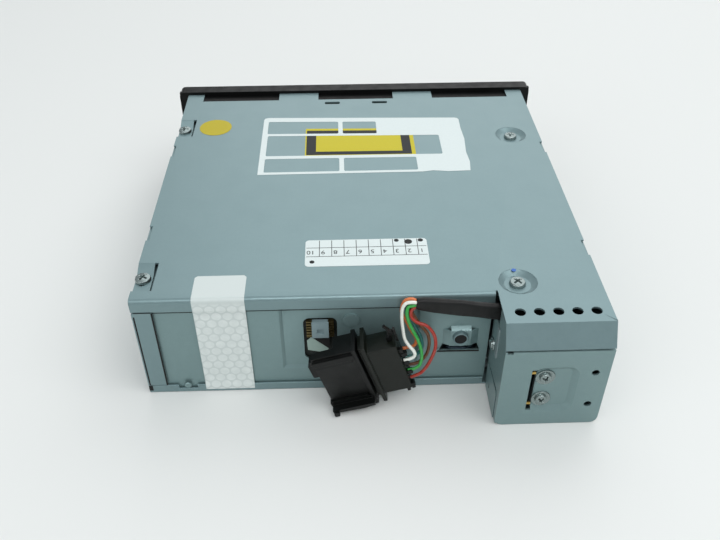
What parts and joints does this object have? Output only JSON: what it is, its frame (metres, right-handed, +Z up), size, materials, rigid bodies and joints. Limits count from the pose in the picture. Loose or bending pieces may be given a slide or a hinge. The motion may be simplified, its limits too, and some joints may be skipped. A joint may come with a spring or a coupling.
{
  "type": "car cd changer",
  "caption": "Slot-loading car disc changer in a flat steel case with a dark bezel, a stepped rear box, a short wired plug and the tray, roller and playback mechanism inside.",
  "frame": {"origin": "middle of the case's bottom face", "axes": "+X to the right seen from the bezel, +Y from the bezel to the back, +Z up"},
  "size_m": [0.19, 0.1994, 0.0524],
  "materials": {
    "galvanised_steel": "dull zinc-coated sheet",
    "zinc_steel": "bright zinc",
    "bezel_plastic": "fine grained moulding",
    "button_plastic": "satin moulding",
    "circuit_board": "solder resist",
    "black_plastic": "moulded",
    "rubber": "matt",
    "white_plastic": "moulded",
    "brass": "turned",
    "wire_white": "insulation",
    "wire_orange": "insulation",
    "wire_green": "insulation",
    "wire_teal": "insulation",
    "wire_red": "insulation",
    "wire_brown": "insulation"
  },
  "bodies": {
    "case": {"top_cover": "galvanised_steel", "bottom_cover": "galvanised_steel", "side_plate_right": "galvanised_steel", "side_plate_left": "galvanised_steel", "rear_panel": "galvanised_steel", "rear_box": "galvanised_steel", "front_bezel": "bezel_plastic", "front_board": "circuit_board", "mechanism_deck": "zinc_steel", "cam_motor": "zinc_steel", "upper_disc_guide": "black_plastic", "main_board": "circuit_board", "rear_board": "circuit_board", "service_connector": "white_plastic", "lead_sleeve": "rubber", "wire_white": "wire_white", "wire_orange": "wire_orange", "wire_green": "wire_green", "wire_teal": "wire_teal", "wire_red": "wire_red", "wire_brown": "wire_brown", "harness_plug": "black_plastic", "harness_socket": "black_plastic"},
    "disc_button_1": {"disc_button_1": "button_plastic"},
    "disc_button_2": {"disc_button_2": "button_plastic"},
    "disc_button_3": {"disc_button_3": "button_plastic"},
    "disc_button_4": {"disc_button_4": "button_plastic"},
    "disc_button_5": {"disc_button_5": "button_plastic"},
    "disc_button_6": {"disc_button_6": "button_plastic"},
    "load_button": {"load_button": "button_plastic"},
    "eject_button": {"eject_button": "button_plastic"},
    "roller_bracket": {"roller_bracket": "zinc_steel", "loading_motor": "zinc_steel"},
    "rollers": {"roller_shaft": "zinc_steel", "roller_sleeve_left": "rubber", "roller_sleeve_right": "rubber", "roller_gear": "white_plastic"},
    "idler_gear": {"idler_gear": "white_plastic"},
    "loading_pinion": {"loading_pinion": "brass"},
    "shift_plate": {"shift_plate": "zinc_steel"},
    "cam_screw_front_left": {"cam_screw_front_left": "zinc_steel"},
    "cam_screw_front_right": {"cam_screw_front_right": "zinc_steel"},
    "cam_screw_rear_left": {"cam_screw_rear_left": "zinc_steel"},
    "cam_screw_rear_right": {"cam_screw_rear_right": "zinc_steel"},
    "disc_tray_1": {"disc_tray_1": "black_plastic"},
    "disc_tray_2": {"disc_tray_2": "black_plastic"},
    "disc_tray_3": {"disc_tray_3": "black_plastic"},
    "disc_tray_4": {"disc_tray_4": "black_plastic"},
    "disc_tray_5": {"disc_tray_5": "black_plastic"},
    "disc_tray_6": {"disc_tray_6": "black_plastic"},
    "cam_pinion": {"cam_pinion": "brass"},
    "playback_arm": {"playback_arm": "zinc_steel", "guide_shaft": "zinc_steel", "sled_motor": "zinc_steel", "spindle_motor": "zinc_steel"},
    "turntable": {"turntable": "black_plastic"},
    "pickup_sled": {"pickup_sled": "black_plastic"},
    "lead_screw": {"lead_screw": "brass"},
    "clamp_arm": {"clamp_arm": "zinc_steel"},
    "clamper": {"clamper": "black_plastic"}
  },
  "joints": [
    {"name": "disc_button_1_press", "type": "slide", "parent": "case", "child": "disc_button_1", "axis": [0, 1, 0], "range_m": [0, 0.001], "stiffness_N_per_m": 300},
    {"name": "disc_button_2_press", "type": "slide", "parent": "case", "child": "disc_button_2", "axis": [0, 1, 0], "range_m": [0, 0.001], "stiffness_N_per_m": 300},
    {"name": "disc_button_3_press", "type": "slide", "parent": "case", "child": "disc_button_3", "axis": [0, 1, 0], "range_m": [0, 0.001], "stiffness_N_per_m": 300},
    {"name": "disc_button_4_press", "type": "slide", "parent": "case", "child": "disc_button_4", "axis": [0, 1, 0], "range_m": [0, 0.001], "stiffness_N_per_m": 300},
    {"name": "disc_button_5_press", "type": "slide", "parent": "case", "child": "disc_button_5", "axis": [0, 1, 0], "range_m": [0, 0.001], "stiffness_N_per_m": 300},
    {"name": "disc_button_6_press", "type": "slide", "parent": "case", "child": "disc_button_6", "axis": [0, 1, 0], "range_m": [0, 0.001], "stiffness_N_per_m": 300},
    {"name": "load_button_press", "type": "slide", "parent": "case", "child": "load_button", "axis": [0, 1, 0], "range_m": [0, 0.001], "stiffness_N_per_m": 300},
    {"name": "eject_button_press", "type": "slide", "parent": "case", "child": "eject_button", "axis": [0, 1, 0], "range_m": [0, 0.001], "stiffness_N_per_m": 300},
    {"name": "roller_tilt", "type": "hinge", "parent": "case", "child": "roller_bracket", "pos_m": [0, -0.06633, 0.01705], "axis": [1, 0, 0], "range_deg": [0, 20], "stiffness_Nm_per_rad": 0.02, "springref_deg": -20.05},
    {"name": "roller_spin", "type": "hinge", "parent": "roller_bracket", "child": "rollers", "pos_m": [0, -0.0725, 0.0244], "axis": [1, 0, 0], "continuous": true},
    {"name": "idler_spin", "type": "hinge", "parent": "roller_bracket", "child": "idler_gear", "pos_m": [0.0867, -0.06633, 0.01705], "axis": [1, 0, 0], "continuous": true},
    {"name": "loading_pinion_spin", "type": "hinge", "parent": "roller_bracket", "child": "loading_pinion", "pos_m": [0.0867, -0.05822, 0.01922], "axis": [1, 0, 0], "continuous": true},
    {"name": "shift_plate_slide", "type": "slide", "parent": "case", "child": "shift_plate", "axis": [0, -1, 0], "range_m": [0, 0.01005]},
    {"name": "cam_screw_front_left_spin", "type": "hinge", "parent": "case", "child": "cam_screw_front_left", "pos_m": [-0.074, -0.042, 0.028], "axis": [0, 0, 1], "range_deg": [-180.1, 0]},
    {"name": "cam_screw_front_right_spin", "type": "hinge", "parent": "case", "child": "cam_screw_front_right", "pos_m": [0.074, -0.042, 0.028], "axis": [0, 0, 1], "range_deg": [0, 180.1]},
    {"name": "cam_screw_rear_left_spin", "type": "hinge", "parent": "case", "child": "cam_screw_rear_left", "pos_m": [-0.074, 0.042, 0.028], "axis": [0, 0, 1], "range_deg": [-180.1, 0]},
    {"name": "cam_screw_rear_right_spin", "type": "hinge", "parent": "case", "child": "cam_screw_rear_right", "pos_m": [0.074, 0.042, 0.028], "axis": [0, 0, 1], "range_deg": [0, 180.1]},
    {"name": "disc_tray_1_lift", "type": "slide", "parent": "case", "child": "disc_tray_1", "axis": [0, 0, 1], "range_m": [-0.00041, 0]},
    {"name": "disc_tray_2_lift", "type": "slide", "parent": "case", "child": "disc_tray_2", "axis": [0, 0, 1], "range_m": [-0.00121, 0]},
    {"name": "disc_tray_3_lift", "type": "slide", "parent": "case", "child": "disc_tray_3", "axis": [0, 0, 1], "range_m": [-0.00201, 0]},
    {"name": "disc_tray_4_lift", "type": "slide", "parent": "case", "child": "disc_tray_4", "axis": [0, 0, 1], "range_m": [0, 0.00201]},
    {"name": "disc_tray_5_lift", "type": "slide", "parent": "case", "child": "disc_tray_5", "axis": [0, 0, 1], "range_m": [0, 0.00121]},
    {"name": "disc_tray_6_lift", "type": "slide", "parent": "case", "child": "disc_tray_6", "axis": [0, 0, 1], "range_m": [0, 0.00041]},
    {"name": "cam_pinion_spin", "type": "hinge", "parent": "case", "child": "cam_pinion", "pos_m": [0.068, 0.062, 0.01296], "axis": [1, 0, 0], "range_deg": [-112.6, 0]},
    {"name": "arm_swing", "type": "hinge", "parent": "case", "child": "playback_arm", "pos_m": [-0.07, 0.0645, 0.02], "axis": [0, 0, 1], "range_deg": [0, 45]},
    {"name": "turntable_spin", "type": "hinge", "parent": "playback_arm", "child": "turntable", "pos_m": [0, -0.006, 0.028], "axis": [0, 0, 1], "continuous": true},
    {"name": "sled_slide", "type": "slide", "parent": "playback_arm", "child": "pickup_sled", "axis": [-0.7046, 0.7096, 0], "range_m": [0, 0.03]},
    {"name": "lead_screw_spin", "type": "hinge", "parent": "playback_arm", "child": "lead_screw", "pos_m": [-0.03742, 0.04048, 0.0232], "axis": [0.7046, -0.7096, 0], "range_deg": [0, 3600.2]},
    {"name": "clamp_lift", "type": "hinge", "parent": "playback_arm", "child": "clamp_arm", "pos_m": [-0.05873, 0.05315, 0.0338], "axis": [-0.7096, -0.7046, 0], "range_deg": [0, 1.4]},
    {"name": "clamper_spin", "type": "hinge", "parent": "clamp_arm", "child": "clamper", "pos_m": [0, -0.006, 0.033], "axis": [0, 0, 1], "continuous": true}
  ],
  "couplings": [
    {"joint": "idler_spin", "follows": "roller_spin", "ratio": -0.77778},
    {"joint": "loading_pinion_spin", "follows": "roller_spin", "ratio": 1.4},
    {"joint": "cam_screw_front_left_spin", "follows": "shift_plate_slide", "rad_per_m": -312.5},
    {"joint": "cam_screw_front_right_spin", "follows": "shift_plate_slide", "rad_per_m": 312.5},
    {"joint": "cam_screw_rear_left_spin", "follows": "shift_plate_slide", "rad_per_m": -312.5},
    {"joint": "cam_screw_rear_right_spin", "follows": "shift_plate_slide", "rad_per_m": 312.5},
    {"joint": "disc_tray_1_lift", "follows": "shift_plate_slide", "ratio": -0.039789},
    {"joint": "disc_tray_2_lift", "follows": "shift_plate_slide", "ratio": -0.11937},
    {"joint": "disc_tray_3_lift", "follows": "shift_plate_slide", "ratio": -0.19894},
    {"joint": "disc_tray_4_lift", "follows": "shift_plate_slide", "ratio": 0.19894},
    {"joint": "disc_tray_5_lift", "follows": "shift_plate_slide", "ratio": 0.11937},
    {"joint": "disc_tray_6_lift", "follows": "shift_plate_slide", "ratio": 0.039789},
    {"joint": "cam_pinion_spin", "follows": "shift_plate_slide", "rad_per_m": -195.31},
    {"joint": "lead_screw_spin", "follows": "sled_slide", "rad_per_m": 2094.4},
    {"joint": "clamper_spin", "follows": "turntable_spin", "ratio": 1}
  ]
}
